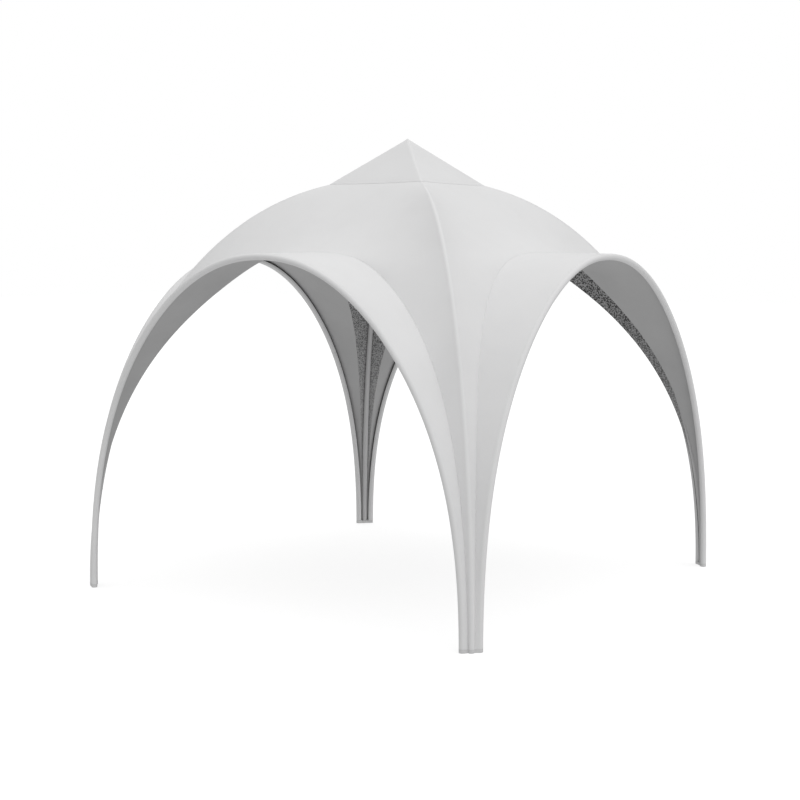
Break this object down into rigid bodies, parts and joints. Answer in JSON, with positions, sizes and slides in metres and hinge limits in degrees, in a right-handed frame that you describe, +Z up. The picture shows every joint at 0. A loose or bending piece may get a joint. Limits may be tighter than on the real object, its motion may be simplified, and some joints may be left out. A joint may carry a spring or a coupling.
{
  "type": "dome event tent",
  "caption": "Square dome tent: arched corner legs, open arch on every side with a shading visor, pale tensioned canopy and a small pyramid cap on top.",
  "frame": {"origin": "on the floor, midway between the feet", "axes": "+Z up; the open sides face +X, -X, +Y and -Y, and the legs stand on the diagonals"},
  "size_m": [3.0978, 3.0978, 2.975],
  "materials": {
    "canopy_fabric": "matt coated polyester, pale grey white, darker lining under the roof",
    "cap_fabric": "matt coated polyester, pale grey white",
    "pole": "satin anodised tube",
    "moulding": "moulded nylon, pale grey"
  },
  "bodies": {
    "root": {"rib_se": "pole", "foot_shoe_se": "moulding", "rib_ne": "pole", "foot_shoe_ne": "moulding", "rib_nw": "pole", "foot_shoe_nw": "moulding", "rib_sw": "pole", "foot_shoe_sw": "moulding", "rim_hoop_s": "pole", "roof_panel_s": "canopy_fabric", "visor_s": "canopy_fabric", "rim_hoop_e": "pole", "roof_panel_e": "canopy_fabric", "visor_e": "canopy_fabric", "rim_hoop_n": "pole", "roof_panel_n": "canopy_fabric", "visor_n": "canopy_fabric", "rim_hoop_w": "pole", "roof_panel_w": "canopy_fabric", "visor_w": "canopy_fabric", "peak_cap": "cap_fabric", "crown_hub": "moulding", "peak_post": "pole"}
  },
  "joints": []
}
